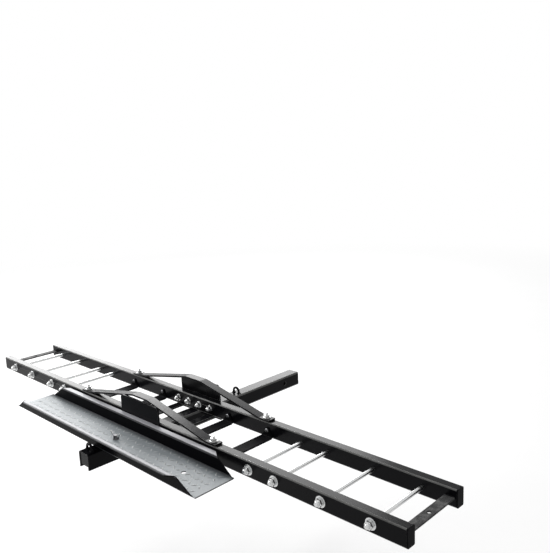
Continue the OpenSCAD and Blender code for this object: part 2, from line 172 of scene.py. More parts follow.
class ShaderTree:
    """Node tree of a material or the world, built node by node."""

    def __init__(self, owner: Material | World) -> None:
        """Empties the owner's tree, ready for new nodes.

        Args:
            owner: The material or world.
        """
        owner.use_nodes = True
        self.nodes = owner.node_tree.nodes
        self.links = owner.node_tree.links
        self.nodes.clear()

    def node(self, kind: str, settings: dict | None = None, inputs: dict | None = None) -> Node:
        """Adds one node.

        Args:
            kind: Blender's name of the node's type.
            settings: Properties, set first.
            inputs: Values or links, by socket name or number.

        Returns:
            The new node.
        """
        made = self.nodes.new(kind)
        for name, setting in (settings or {}).items():
            setattr(made, name, setting)
        for name, given in (inputs or {}).items():
            self._feed(made.inputs[name], given)
        return made

    def value(self, kind: str, output: str | int, settings: dict | None = None,
              inputs: dict | None = None) -> Value:
        """Adds one node and gives one of its outputs, by name or number."""
        return Value(self, self.node(kind, settings, inputs).outputs[output])

    def _feed(self, socket: NodeSocket, given: Feed) -> None:
        """Links a socket, or sets its own value.

        Args:
            socket: The socket to feed.
            given: A value, another socket, a number, or a colour.
        """
        if isinstance(given, Value):
            self.links.new(given.socket, socket)
        elif isinstance(given, NodeSocket):
            self.links.new(given, socket)
        elif isinstance(given, tuple) and len(given) == 3 and socket.type == "RGBA":
            socket.default_value = (*given, 1.0)
        else:
            socket.default_value = given

    def place(self, stretch: Triple | None = None) -> Value:
        """Object coordinates in metres.

        Args:
            stretch: Factor on each axis, if any.

        Returns:
            The point on the piece.
        """
        point = self.value("ShaderNodeTexCoord", "Object")
        if stretch is None:
            return point
        return self.value("ShaderNodeMapping", 0, None, {"Vector": point, "Scale": stretch})

    def noise(self, point: Value, size: float, detail: float = 2.0, roughness: float = 0.5) -> Value:
        """Noise from 0 to 1.

        Args:
            point: Where to read it.
            size: Width of its largest blots, in metres.
            detail: Number of finer layers.
            roughness: Strength of the finer layers.

        Returns:
            The noise.
        """
        inputs = {"Vector": point, "Scale": 1.0 / size, "Detail": detail, "Roughness": roughness}
        return self.value("ShaderNodeTexNoise", "Fac", None, inputs)

    def attribute(self, name: str) -> Value:
        """Face attribute of the piece, 0 where it has none."""
        return self.value("ShaderNodeAttribute", "Fac", {"attribute_name": name})

    def mix(self, share: Feed, first: Feed, second: Feed) -> Value:
        """Colour between two colours: the first at a share of 0, the second at 1."""
        return self.value("ShaderNodeMix", 2, {"data_type": "RGBA"}, {0: share, 6: first, 7: second})

    def bump(self, height: Value, depth: float, strength: float) -> Value:
        """Normal of a fine relief, from its height, its depth in metres and the share of it that shows."""
        inputs = {"Height": height, "Distance": depth, "Strength": strength}
        return self.value("ShaderNodeBump", 0, None, inputs)

    def seen(self) -> Value:
        """Test for rays that see the background directly, in a mirror or through glass.

        Returns:
            1 for such rays, 0 for those that light the object.
        """
        path = self.node("ShaderNodeLightPath")
        rays = ("Is Camera Ray", "Is Glossy Ray", "Is Transmission Ray")
        camera, glossy, through = (Value(self, path.outputs[ray]) for ray in rays)
        return camera.at_least(glossy).at_least(through)

    def shader(self, kind: str, inputs: dict) -> NodeSocket:
        """Adds a shader node, by the end of its type's name, and gives its output."""
        return self.node("ShaderNode" + kind, None, inputs).outputs[0]

    def surface(self, shader: NodeSocket, target: str = "ShaderNodeOutputMaterial") -> None:
        """Makes a shader the tree's surface."""
        self.node(target, None, {"Surface": shader})


# Finishes


@dataclass(frozen=True)
class Finish:
    """What all finishes share: a name, and a material made from their shader."""

    name: str

    def shader(self, tree: ShaderTree, point: Value) -> NodeSocket:
        """Shader of the finish, from its tree and the object coordinates; each kind has its own."""
        raise NotImplementedError

    def material(self) -> Material:
        """Builds the material.

        Returns:
            The new material.
        """
        made = bpy.data.materials.new(self.name)
        tree = ShaderTree(made)
        tree.surface(self.shader(tree, tree.place()))
        return made


@dataclass(frozen=True)
class GlossPaint(Finish):
    """Gloss powder coat: orange peel, a little dust, and edges that are rubbed and chipped, with a painted
    highlight lightening them.
    """

    colour: Colour
    dust_colour: Colour = (0.25, 0.25, 0.245)
    chip_colour: Colour = (0.17, 0.17, 0.17)
    roughness: Band = (0.12, 0.26)
    grain_roughness: float = 0.05
    chip_roughness: float = 0.3
    specular: float = 0.07
    cloud_size: float = 110 * MM
    chip_size: float = 7 * MM
    speck_size: float = 2.2 * MM
    peel_size: float = 1.6 * MM
    grain_size: float = 0.9 * MM
    dust_band: Band = (0.45, 0.75)
    speck_band: Band = (0.70, 0.78)
    chip_band: Band = (0.60, 0.66)
    even_dust: float = 0.35
    even_rub: float = 0.3
    dust: float = 0.03
    # rub: how far edge faces go to the dust colour, as rubbed paint and as a painted highlight along edges.
    rub: float = 0.9
    chips: float = 0.5
    peel_depth: float = 0.03 * MM
    peel_share: float = 0.5
    grain_share: float = 0.2

    def shader(self, tree: ShaderTree, point: Value) -> NodeSocket:
        """Paint whose wear and painted edge highlight follow the face attribute "edge".

        Args:
            tree: Tree that the nodes go into.
            point: Object coordinates.

        Returns:
            The shader.
        """
        clouds = tree.noise(point, self.cloud_size, 4.0, 0.6)
        grain = tree.noise(point, self.grain_size)
        specks = tree.noise(point, self.speck_size, 1.0).between(*self.speck_band)
        edge = tree.attribute("edge")
        dusty = clouds.between(*self.dust_band) * (self.even_dust + specks)
        # Edge faces are lightened both as wear and as a painted highlight along edges and rail corners.
        rubbed = edge * clouds.spread(self.even_rub, 1.0) * self.rub
        chipped = tree.noise(point, self.chip_size, 5.0, 0.65).between(*self.chip_band) * edge * self.chips
        coat = tree.mix(rubbed.at_least(dusty * self.dust), self.colour, self.dust_colour)
        roughness = (clouds.spread(*self.roughness) + self.grain_roughness * grain
                     + self.chip_roughness * chipped)
        relief = tree.noise(point, self.peel_size) + self.grain_share * grain
        return tree.shader("BsdfPrincipled", {
            "Base Color": tree.mix(chipped, coat, self.chip_colour),
            "Roughness": roughness,
            "Specular IOR Level": self.specular,
            "Normal": tree.bump(relief, self.peel_depth, self.peel_share),
        })


@dataclass(frozen=True)
class SatinPaint(Finish):
    """Thin dull paint with a sandy grain, rubbed lighter in streaks."""

    colour: Colour
    rubbed: Colour
    roughness: Band = (0.42, 0.62)
    specular: float = 0.015
    cloud_size: float = 25 * MM
    grain_size: float = 1.2 * MM
    cloud_band: Band = (0.42, 0.72)
    grain_band: Band = (0.5, 0.75)
    cloud_rub: float = 0.6
    grain_rub: float = 0.9
    edge_rub: float = 0.7
    grain_depth: float = 0.06 * MM
    grain_share: float = 0.6

    def shader(self, tree: ShaderTree, point: Value) -> NodeSocket:
        """Paint that is rubbed in clouds, on its grain and on faces with the attribute "edge".

        Args:
            tree: Tree that the nodes go into.
            point: Object coordinates.

        Returns:
            The shader.
        """
        clouds = tree.noise(point, self.cloud_size, 5.0, 0.65)
        grain = tree.noise(point, self.grain_size, 3.0, 0.6)
        worn = (self.cloud_rub * clouds.between(*self.cloud_band)
                + self.grain_rub * grain.between(*self.grain_band))
        rub = worn.at_least(self.edge_rub * tree.attribute("edge") * clouds)
        return tree.shader("BsdfPrincipled", {
            "Base Color": tree.mix(rub, self.colour, self.rubbed),
            "Roughness": clouds.spread(*self.roughness),
            "Specular IOR Level": self.specular,
            "Normal": tree.bump(grain, self.grain_depth, self.grain_share),
        })


@dataclass(frozen=True)
class TreadCoat(Finish):
    """Black sheet with a painted grey sheen on its up-facing floor, lips and bars, standing for reflected
    sky, and worn grey edges and scuffs.
    """

    middle_y: float
    half_floor: float
    half_width: float
    black: Colour = (0.004, 0.004, 0.005)
    silver: Colour = (0.201, 0.222, 0.234)
    bright: Colour = (0.32, 0.335, 0.342)
    polished: Colour = (0.30, 0.30, 0.32)
    coat_roughness: Band = (0.18, 0.32)
    bare_roughness: Band = (0.32, 0.46)
    coat_specular: float = 0.015
    bare_specular: float = 0.18
    cloud_size: float = 70 * MM
    scuff_size: float = 4 * MM
    fray_size: float = 9 * MM
    grain_size: float = 1.1 * MM
    scuff_stretch: Triple = (0.12, 1.0, 1.0)
    fray_stretch: Triple = (0.4, 1.0, 1.0)
    scuff_band: Band = (0.52, 0.75)
    # Widths and strength of the painted shade beside the folds.
    far_rim: float = 26 * MM
    near_rim: float = 14 * MM
    near_rim_share: float = 0.3
    rim_black: float = 0.8
    lip_edge: float = 5 * MM
    lip_fray: float = 7 * MM
    lip_black: float = 0.85
    patchy: Band = (0.86, 1.06)
    edge_wear: float = 0.35
    scuff_share: float = 0.3
    grain_depth: float = 0.04 * MM
    grain_share: float = 0.5

    def shader(self, tree: ShaderTree, point: Value) -> NodeSocket:
        """Black coat with a painted grey sheen on up-facing faces, taken back beside the folds as painted
        shade and on the near lip's rim, with scuffs lengthways.

        It reads the face attributes "paler" (up-facing faces, which take the painted sheen), "lip", "raised"
        (the bars) and "edge".

        Args:
            tree: Tree that the nodes go into.
            point: Object coordinates.

        Returns:
            The shader.
        """
        worn, lip, edge, raised = (tree.attribute(name) for name in ("worn", "lip", "edge", "raised"))
        far = tree.value("ShaderNodeSeparateXYZ", "Y", None, {0: point}) - self.middle_y
        near = 0.0 - far
        clouds = tree.noise(point, self.cloud_size, 5.0, 0.6)
        streaks = tree.noise(tree.place(self.scuff_stretch), self.scuff_size, 4.0, 0.6)
        frayed = near + self.lip_fray * tree.noise(tree.place(self.fray_stretch), self.fray_size, 4.0, 0.65)
        # outer: the near lip's outer rim, where the painted lip highlight fades to the black coat.
        outer = frayed.between(self.half_width - self.lip_edge, self.half_width)
        # rim: painted shade beside the folds, standing for the black flanges' shadow and dark reflection in
        # the floor; widest and strongest by the far flange.
        rim = (far.between(self.half_floor - self.far_rim, self.half_floor)
               + self.near_rim_share * near.between(self.half_floor - self.near_rim, self.half_floor))
        # The grey on up-facing faces is a painted sheen standing for reflected sky; worn edges take the same
        # grey as real wear.
        sheen_and_wear = worn * (1.0 - self.rim_black * rim * (1.0 - lip)) * (1.0 - self.lip_black * outer)
        sheen_and_wear = (sheen_and_wear * clouds.spread(*self.patchy)).at_least(edge * clouds * self.edge_wear)
        # Raised bars take a lighter grey on their crowns as a painted highlight; lengthways scuffs, which are
        # wear, share that grey.
        scuffs_and_bar_highlight = raised.at_least(self.scuff_share * streaks.between(*self.scuff_band))
        # Lip faces take a paler grey as a painted highlight; their worn edges share it.
        grey = tree.mix(lip, tree.mix(scuffs_and_bar_highlight, self.silver, self.bright), self.polished)
        normal = tree.bump(tree.noise(point, self.grain_size, 3.0), self.grain_depth, self.grain_share)

        def skin(colour: Feed, roughness: Band, specular: float) -> NodeSocket:
            """Shader of the black coat or of the painted grey sheen and worn metal, with the grain of both.
            """
            return tree.shader("BsdfPrincipled", {
                "Base Color": colour,
                "Roughness": clouds.spread(*roughness),
                "Specular IOR Level": specular,
                "Normal": normal,
            })

        coat = skin(self.black, self.coat_roughness, self.coat_specular)
        sheen_and_wear_skin = skin(grey, self.bare_roughness, self.bare_specular)
        return tree.shader("MixShader", {0: sheen_and_wear, 1: coat, 2: sheen_and_wear_skin})


@dataclass(frozen=True)
class ZincPlate(Finish):
    """Zinc plating: faint tint patches, dull blots and fine drawing lines."""

    cool: Colour = (0.58, 0.60, 0.62)
    warm: Colour = (0.66, 0.65, 0.63)
    stain: Colour = (0.34, 0.35, 0.36)
    roughness: Band = (0.14, 0.34)
    tint_size: float = 14 * MM
    blot_size: float = 5 * MM
    line_size: float = 0.7 * MM
    line_stretch: Triple = (1.0, 0.06, 1.0)
    stain_band: Band = (0.58, 0.78)
    stain_share: float = 0.45
    line_depth: float = 0.02 * MM
    line_share: float = 0.4

    def shader(self, tree: ShaderTree, point: Value) -> NodeSocket:
        """Metal with tints and stains.

        Args:
            tree: Tree that the nodes go into.
            point: Object coordinates.

        Returns:
            The shader.
        """
        tint = tree.mix(tree.noise(point, self.tint_size, 3.0), self.cool, self.warm)
        blots = tree.noise(point, self.blot_size, 5.0, 0.7)
        lines = tree.noise(tree.place(self.line_stretch), self.line_size)
        return tree.shader("BsdfPrincipled", {
            "Base Color": tree.mix(self.stain_share * blots.between(*self.stain_band), tint, self.stain),
            "Metallic": 1.0,
            "Roughness": blots.spread(*self.roughness),
            "Normal": tree.bump(lines, self.line_depth, self.line_share),
        })


@dataclass(frozen=True)
class SatinPlastic(Finish):
    """Moulded black plastic with a fine spark-eroded grain and rubbed edges."""

    colour: Colour = (0.006, 0.006, 0.007)
    rubbed: Colour = (0.05, 0.05, 0.052)
    roughness: Band = (0.36, 0.52)
    specular: float = 0.02
    cloud_size: float = 20 * MM
    grain_size: float = 0.6 * MM
    rub_band: Band = (0.4, 0.7)
    rub: float = 0.6
    grain_depth: float = 0.03 * MM
    grain_share: float = 0.5

    def shader(self, tree: ShaderTree, point: Value) -> NodeSocket:
        """Plastic whose wear follows the face attribute "edge".

        Args:
            tree: Tree that the nodes go into.
            point: Object coordinates.

        Returns:
            The shader.
        """
        clouds = tree.noise(point, self.cloud_size, 4.0)
        grain = tree.noise(point, self.grain_size, 1.0)
        rub = tree.attribute("edge") * clouds.between(*self.rub_band) * self.rub
        return tree.shader("BsdfPrincipled", {
            "Base Color": tree.mix(rub, self.colour, self.rubbed),
            "Roughness": clouds.spread(*self.roughness),
            "Specular IOR Level": self.specular,
            "Normal": tree.bump(grain, self.grain_depth, self.grain_share),
        })


@dataclass(frozen=True)
class PaleFloor(Finish):
    """Pale floor that keeps the carrier's shadow and fades to plain white far away."""

    ambient: float
    dark: Colour = (0.44, 0.44, 0.44)
    pale: Colour = (0.47, 0.47, 0.47)
    glow: float = 0.53
    fade: Band = (2.5, 7.0)
    cloud_size: float = 0.4

    def shader(self, tree: ShaderTree, point: Value) -> NodeSocket:
        """Floor that is lit by the lamps, and white to the camera and in mirrors.

        Args:
            tree: Tree that the nodes go into.
            point: Object coordinates.

        Returns:
            The shader.
        """
        seen = tree.seen()
        away = tree.value("ShaderNodeVectorMath", "Value", {"operation": "LENGTH"}, {0: point})
        colour = tree.mix(tree.noise(point, self.cloud_size, 3.0), self.dark, self.pale)
        diffuse = tree.shader("BsdfDiffuse", {"Color": colour})
        glow = tree.shader("Emission", {"Color": WHITE, "Strength": self.glow * seen})
        white = tree.shader("Emission", {"Color": WHITE, "Strength": seen.spread(self.ambient, 1.0)})
        lit = tree.shader("AddShader", {0: diffuse, 1: glow})
        return tree.shader("MixShader", {0: away.between(*self.fade), 1: lit, 2: white})


# Mesh tools


def pose(at: Sequence[float], toward: Sequence[float] = (0.0, 0.0, 1.0)) -> Matrix:
    """Place of a part that is drawn along +Z.

    Args:
        at: Where its origin goes.
        toward: Where its +Z axis points.

    Returns:
        The matrix that puts it there.
    """
    turn = Vector((0.0, 0.0, 1.0)).rotation_difference(Vector(toward))
    return Matrix.Translation(Vector(at)) @ turn.to_matrix().to_4x4()


def only(kind: type, geometry: Iterable[object]) -> list:
    """The vertices, edges or faces among what an operator gives back."""
    return [item for item in geometry if isinstance(item, kind)]


def as_mesh(bm: BMesh) -> Mesh:
    """Turns a bmesh into a mesh and frees it.

    Args:
        bm: The bmesh, which is used up.

    Returns:
        The new mesh.
    """
    mesh = bpy.data.meshes.new("shape")
    bm.to_mesh(mesh)
    bm.free()
    return mesh


def closed_up(bm: BMesh) -> BMesh:
    """Merges doubles and points all faces outward.

    Args:
        bm: The shape to close.

    Returns:
        The same shape.
    """
    bmesh.ops.remove_doubles(bm, verts=bm.verts[:], dist=MERGE)
    bmesh.ops.recalc_face_normals(bm, faces=bm.faces[:])
    return bm


def lathe(profile: Sequence[Point], steps: int, ring: bool = False) -> Mesh:
    """Turned shape about +Z.

    Args:
        profile: Radius and height of each point of the outline.
        steps: Number of steps in the turn.
        ring: True where the outline closes on itself, off the axis.

    Returns:
        The closed mesh.
    """
    bm = bmesh.new()
    verts = [bm.verts.new((r, 0.0, z)) for r, z in profile]
    pairs = list(zip(verts, verts[1:]))
    if ring:
        pairs.append((verts[-1], verts[0]))
    edges = [bm.edges.new(pair) for pair in pairs]
    bmesh.ops.spin(bm, geom=verts + edges, cent=(0, 0, 0), axis=(0, 0, 1), angle=2 * math.pi, steps=steps,
                   use_merge=True, use_duplicate=False)
    return as_mesh(closed_up(bm))


def stamped(shape: Mesh, places: Iterable[Matrix]) -> BMesh:
    """Copies of one shape.

    Args:
        shape: The mesh to repeat.
        places: Where each copy goes.

    Returns:
        All the copies in one bmesh.
    """
    bm = bmesh.new()
    for place in places:
        copy = shape.copy()
        copy.transform(place)
        bm.from_mesh(copy)
        bpy.data.meshes.remove(copy)
    return bm


def marked(bm: BMesh, name: str, share: Callable[[BMFace], float]) -> BMesh:
    """Writes a face attribute that a finish reads.

    Args:
        bm: The shape to mark.
        name: Name of the attribute.
        share: Gives the value for a face.

    Returns:
        The same shape.
    """
    layer = bm.faces.layers.float.new(name)
    for face in bm.faces:
        face[layer] = share(face)
    return bm


@dataclass(frozen=True)
class Softener:
    """Rounds the sharp edges of CAD nodes: faces join below one angle, and edges round above another."""

    flat: float = math.radians(0.5)
    sharp: float = math.radians(32.0)
    steps: int = 2
    merge: float = 0.01 * MM

    def copy(self, node: str, width: float, corner: float = 0.0) -> BMesh:
        """Copy of a CAD node with rounded edges; rounded and narrow faces get the attribute "edge".

        Args:
            node: Name of the node.
            width: Width of the rounding in metres.
            corner: Faces narrower than this count as edges too.

        Returns:
            The rounded copy.
        """
        bm = bmesh.new()
        bm.from_mesh(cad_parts[node].data)
        bmesh.ops.remove_doubles(bm, verts=bm.verts[:], dist=MERGE)
        bmesh.ops.dissolve_limit(bm, angle_limit=self.flat, verts=bm.verts[:], edges=bm.edges[:])
        edges = [e for e in bm.edges if len(e.link_faces) == 2 and e.calc_face_angle(0.0) > self.sharp]
        mark = bm.faces.layers.float.new("edge")
        for face in bm.faces:
            face[mark] = float(face.calc_area() < corner * max(e.calc_length() for e in face.edges))
        made = bmesh.ops.bevel(bm, geom=edges, offset=width, offset_type="OFFSET", segments=self.steps,
                               profile=0.5, affect="EDGES", clamp_overlap=True, material=-1)
        for face in made["faces"]:
            face[mark] = 1.0
        bmesh.ops.remove_doubles(bm, verts=bm.verts[:], dist=self.merge)
        return bm


# Hardware


@dataclass(frozen=True)
class Thread:
    """Outside thread of a rod or bolt, as rings, with a chamfered tip."""

    radius: float
    pitch: float = 1.75 * MM
    depth: float = 0.75 * MM
    crest: Band = (0.4, 0.6)
    tip: float = 1.0 * MM

    def profile(self, low: float, high: float) -> list[Point]:
        """Outline of the thread.

        Args:
            low: Height where it starts.
            high: Height where it ends.

        Returns:
            Radius and height of each point, from low to high.
        """
        count = max(1, round((high - low) / self.pitch))
        step = (high - low) / count
        points: list[Point] = []
        for turn in range(count):
            base = low + turn * step
            points.append((self.radius - self.depth, base))
            points += [(self.radius, base + share * step) for share in self.crest]
        points.append((self.radius - self.depth, high))
        return points

    def end(self, low: float, high: float) -> list[Point]:
        """Outline of a threaded end, from the axis at its chamfered low tip up to the thread's high end."""
        return [(0.0, low), (self.radius - self.tip, low), *self.profile(low + self.tip, high)]


@dataclass(frozen=True)
class HexNut:
    """Hexagonal nut with chamfered corners and a countersunk bore, drawn from its seat along +Z."""

    bore: float
    width: float
    height: float
    steps: int = 36
    chamfer: float = 0.58
    face_share: float = 0.94
    sink: float = 0.7 * MM

    @property
    def face(self) -> float:
        """Radius of the round faces at both ends."""
        return self.face_share * self.width / 2

    def flat_radius(self, angle: float) -> float:
        """Distance from the axis to the hexagon's edge at an angle."""
        sixth = math.pi / 3
        return self.width / 2 / math.cos(angle % sixth - sixth / 2)

    def drop(self, angle: float) -> float:
        """Depth of the chamfer at an angle."""
        return (self.flat_radius(angle) - self.face) * self.chamfer

    def shape(self) -> Mesh:
        """Builds the nut by extruding rings from its bore.

        Returns:
            The nut.
        """
        def even(radius: float, height: float) -> Callable[[float], Point]:
            """Ring of one radius and height."""
            return lambda angle: (radius, height)

        rings: list[Callable[[float], Point]] = [
            even(self.face, 0.0),
            lambda angle: (self.flat_radius(angle), self.drop(angle)),
            lambda angle: (self.flat_radius(angle), self.height - self.drop(angle)),
            even(self.face, self.height),
            even(self.bore + self.sink, self.height),
            even(self.bore, self.height - self.sink),
            even(self.bore, self.sink),
            even(self.bore + self.sink, 0.0),
        ]
        bm = bmesh.new()
        bmesh.ops.create_circle(bm, cap_ends=False, segments=self.steps, radius=self.bore + self.sink)
        edges = bm.edges[:]
        for ring in rings:
            grown = bmesh.ops.extrude_edge_only(bm, edges=edges)["geom"]
            for vert in only(BMVert, grown):
                angle = math.atan2(vert.co.y, vert.co.x)
                radius, height = ring(angle)
                vert.co = (radius * math.cos(angle), radius * math.sin(angle), height)
            edges = only(BMEdge, grown)
        return as_mesh(closed_up(bm))


@dataclass(frozen=True)
class Washer:
    """Flat washer with softened rims, drawn from its seat along +Z."""

    bore: float
    radius: float
    thickness: float
    rim: float = 0.5 * MM
    bulge: float = 0.3
    steps: int = 40

    def shape(self) -> Mesh:
        """Builds the washer as a turned ring.

        Returns:
            The washer.
        """
        low, top = self.thickness - self.rim, self.thickness
        cut = self.bulge * self.rim
        outline = [(self.bore, 0.0), (self.radius, 0.0), (self.radius, low), (self.radius - cut, top - cut),
                   (self.radius - self.rim, top), (self.bore + self.rim, top), (self.bore, low)]
        return lathe(outline, self.steps, ring=True)


@dataclass(frozen=True)
class DomeBolt:
    """Round-headed bolt: its head rises along +Z from its seat, and its shank goes the other way."""

    radius: float
    head_radius: float
    head_height: float
    reach: float
    threaded: float
    socket: float = 0.0
    socket_floor: float = 0.35
    socket_taper: float = 0.94
    arc_steps: int = 7
    steps: int = 28

    def head(self) -> list[Point]:
        """Outline of the head, with a round recess where it has a socket.

        Returns:
            Radius and height of each point, from the rim to the axis.
        """
        ball = (self.head_radius ** 2 + self.head_height ** 2) / (2 * self.head_height)
        step = math.asin(min(1.0, self.head_radius / ball)) / self.arc_steps
        arc = [(ball * math.sin(step * k), self.head_height - ball + ball * math.cos(step * k))
               for k in range(self.arc_steps, -1, -1)]
        if not self.socket:
            return arc
        floor = self.socket_floor * self.head_height
        rest = [point for point in arc if point[0] > self.socket]
        return rest + [(self.socket, rest[-1][1]), (self.socket_taper * self.socket, floor), (0.0, floor)]

    def shape(self) -> Mesh:
        """Builds the bolt as a turned shape.

        Returns:
            The bolt.
        """
        thread = Thread(self.radius)
        top = self.threaded - self.reach
        neck = [(self.radius, top + thread.tip), (self.radius, 0.0), (self.head_radius, 0.0)]
        return lathe(thread.end(-self.reach, top) + neck + self.head(), self.steps)


@dataclass(frozen=True)
class WeldSeam:
    """Row of overlapping weld ripples along straight lines or round feet.

    A wander is a wave in the ripples' size: its share, its turn per ripple and its start, in radians.
    """

    radius: float = 2.6 * MM
    step: float = 2.4 * MM
    flat: float = 0.75
    line_wander: tuple[Triple, ...] = ((0.12, 2.3, 0.0), (0.07, 5.1, 1.0))
    foot_wander: tuple[Triple, ...] = ((0.10, 3.7, 0.0),)

    def ripple(self) -> Mesh:
        """Builds one ripple of the seam.

        Returns:
            The ripple.
        """
        bm = bmesh.new()
        bmesh.ops.create_icosphere(bm, subdivisions=2, radius=self.radius)
        bmesh.ops.scale(bm, vec=(1.0, 1.0, self.flat), verts=bm.verts[:])
        return as_mesh(bm)

    @staticmethod
    def size(k: int, wander: tuple[Triple, ...]) -> Matrix:
        """Size of one ripple, which wanders slightly along the row."""
        return Matrix.Scale(1.0 + sum(share * math.sin(turn * k + start) for share, turn, start in wander), 4)

    def line(self, start: Sequence[float], end: Sequence[float]) -> Iterator[Matrix]:
        """Ripples along a line.

        Args:
            start: Where the seam starts.
            end: Where it ends.

        Returns:
            The place of each ripple.
        """
        first, last = Vector(start), Vector(end)
        count = max(2, round((last - first).length / self.step))
        along = (last - first).normalized()
        for k in range(count + 1):
            yield pose(first.lerp(last, k / count), along) @ self.size(k, self.line_wander)

    def foot(self, at: Sequence[float], radius: float) -> Iterator[Matrix]:
        """Ripples round a post's foot.

        Args:
            at: Middle of the foot.
            radius: Radius of the seam.

        Returns:
            The place of each ripple.
        """
        count = round(2 * math.pi * radius / self.step)
        for k in range(count):
            angle = 2 * math.pi * k / count
            out = Vector((math.cos(angle), math.sin(angle), 0.0)) * radius
            yield pose(Vector(at) + out, (-out.y, out.x, 0.0)) @ self.size(k, self.foot_wander)


@dataclass(frozen=True)
class Layout:
    """Sizes and places that several sub-assemblies share, in metres."""

    beam: float = 50.8 * MM
    track_y: float = -510 * MM
    track_w: float = 240 * MM
    rail_w: float = 28 * MM
    rail_h: float = 48 * MM
    corner: float = 2.0 * MM
    saddle_t: float = 6 * MM
    washer_t: float = 2.5 * MM
    stub: float = 7 * MM
    thread_gap: float = 0.15 * MM
    bolt_r: float = 5 * MM
    bolt_head_r: float = 10 * MM
    bolt_head_h: float = 5 * MM
    bolt_thread: float = 26 * MM
    bolt_nut_w: float = 17 * MM
    bolt_nut_h: float = 8 * MM
    bolt_washer_r: float = 11.5 * MM
    ramp_floor: float = 136 * MM
    ramp_t: float = 3 * MM
    wing_screw_x: float = 30 * MM

    @property
    def beam_top(self) -> float:
        """Height of the bar's top, which carries the rails."""
        return self.beam / 2

    @property
    def rail_top(self) -> float:
        """Height of the rails' tops."""
        return self.beam_top + self.rail_h

    @property
    def inner_w(self) -> float:
        """Width between the rails."""
        return self.track_w - 2 * self.rail_w

    @property
    def ramp_middle(self) -> Vector:
        """Middle of the top of the ramp's floor."""
        low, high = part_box("ramp")
        return Vector(((low.x + high.x) / 2, (low.y + high.y) / 2, low.z + self.ramp_t))

    def rail_y(self, side: Side) -> float:
        """Middle of a rail."""
        return self.track_y + side * (self.track_w - self.rail_w) / 2

    def bolt(self, grip: float) -> DomeBolt:
        """Saddle or bridge bolt for the thickness that it holds together."""
        reach = grip + self.washer_t + self.bolt_nut_h + self.stub
        return DomeBolt(self.bolt_r, self.bolt_head_r, self.bolt_head_h, reach, self.bolt_thread)

    def bolt_nut(self) -> HexNut:
        """Nut of the saddle bolts and bridge bolts."""
        return HexNut(self.bolt_r + self.thread_gap, self.bolt_nut_w, self.bolt_nut_h)

    def bolt_washer(self) -> Washer:
        """Washer of the saddle bolts and bridge bolts."""
        return Washer(self.bolt_r + self.thread_gap, self.bolt_washer_r, self.washer_t)


# Workshop


class Finishes:
    """The carrier's materials, each built once."""

    def __init__(self, lay: Layout) -> None:
        """Builds every finish.

        Args:
            lay: The carrier's sizes.
        """
        low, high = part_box("ramp")
        tread = TreadCoat("worn_tread", (low.y + high.y) / 2, lay.ramp_floor / 2, (high.y - low.y) / 2)
        # A darker, rougher zinc; on the wing screw's hub its darkness is painted shade.
        dull = ZincPlate("dull_zinc", (0.12, 0.12, 0.13), (0.16, 0.16, 0.16), (0.07, 0.07, 0.07), (0.3, 0.5))
        self.dull_zinc = dull.material()
        self.satin = SatinPaint("satin_black", (0.005, 0.005, 0.006), (0.016, 0.016, 0.017)).material()
        self.rubbed = SatinPaint("rubbed_black", (0.046, 0.046, 0.047), (0.220, 0.220, 0.218)).material()
        self.by_slot = {
            Slot.PAINT: GlossPaint("gloss_black", (0.0035, 0.0035, 0.0045)).material(),
            Slot.TREAD: tread.material(),
            Slot.ZINC: ZincPlate("bright_zinc").material(),
            Slot.PLASTIC: SatinPlastic("satin_plastic").material(),
        }


@dataclass
class Workshop:
    """Makes pieces: gives each mesh its finish, from its record slot, and its body, and reports it."""

    finishes: Finishes
    softener: Softener = Softener()
    smooth_angle: float = 40.0
    made: list[str] = field(default_factory=list)

    def piece(self, name: str, bm: BMesh, slot: Slot, replaces: Sequence[str] = (),
              body: Body = Body.CARRIER, finish: Material | None = None) -> Object:
        """Finishes one piece.

        Args:
            name: Name of the piece.
            bm: Its shape, which is used up.
            slot: Record slot that gives its finish.
            replaces: CAD nodes that it stands for.
            body: Body that it rides on.
            finish: Finish in place of the slot's own.

        Returns:
            The finished object.
        """
        mesh = as_mesh(bm)
        mesh.name = name
        mesh.polygons.foreach_set("use_smooth", [True] * len(mesh.polygons))
        mesh.set_sharp_from_angle(angle=math.radians(self.smooth_angle))
        mesh.materials.append(finish or self.finishes.by_slot[slot])
        made = bpy.data.objects.new(name, mesh)
        bpy.context.scene.collection.objects.link(made)
        weighted = made.modifiers.new("flat_faces", "WEIGHTED_NORMAL")
        weighted.keep_sharp = True
        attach(made, body.value)
        if replaces:
            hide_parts(*replaces)
        self.made.append(name)
        LOG.info("%s: %d faces on %s", name, len(mesh.polygons), body.value)
        return made

    def soft(self, node: str, width: float, slot: Slot = Slot.PAINT, finish: Material | None = None,
             corner: float = 0.0) -> None:
        """Replaces a CAD node of the carrier by a copy with rounded edges.

        Args:
            node: Name of the node.
            width: Width of the rounding in metres.
            slot: Record slot that gives its finish.
            finish: Finish in place of the slot's own.
            corner: Faces narrower than this wear as edges do, and take the painted edge highlight.
        """
        self.piece(node + "_soft", self.softener.copy(node, width, corner), slot, (node,), finish=finish)

    def plated(self, node: str, word: str, shape: Mesh, places: Iterable[Matrix],
               body: Body = Body.CARRIER, finish: Material | None = None) -> None:
        """Replaces a CAD node of plated hardware by copies of one finer shape.

        Args:
            node: Name of the node.
            word: How the shape is made, for the piece's name.
            shape: The finer shape.
            places: Where its copies go.
            body: Body that they ride on.
            finish: Finish in place of bright zinc.
        """
        self.piece(f"{node}_{word}", stamped(shape, places), Slot.ZINC, (node,), body, finish)

    def welded(self, name: str, seam: WeldSeam, places: Iterable[Matrix]) -> None:
        """Adds the ripples of a painted weld to the carrier."""
        self.piece(name, stamped(seam.ripple(), places), Slot.PAINT)


# Sub-assemblies


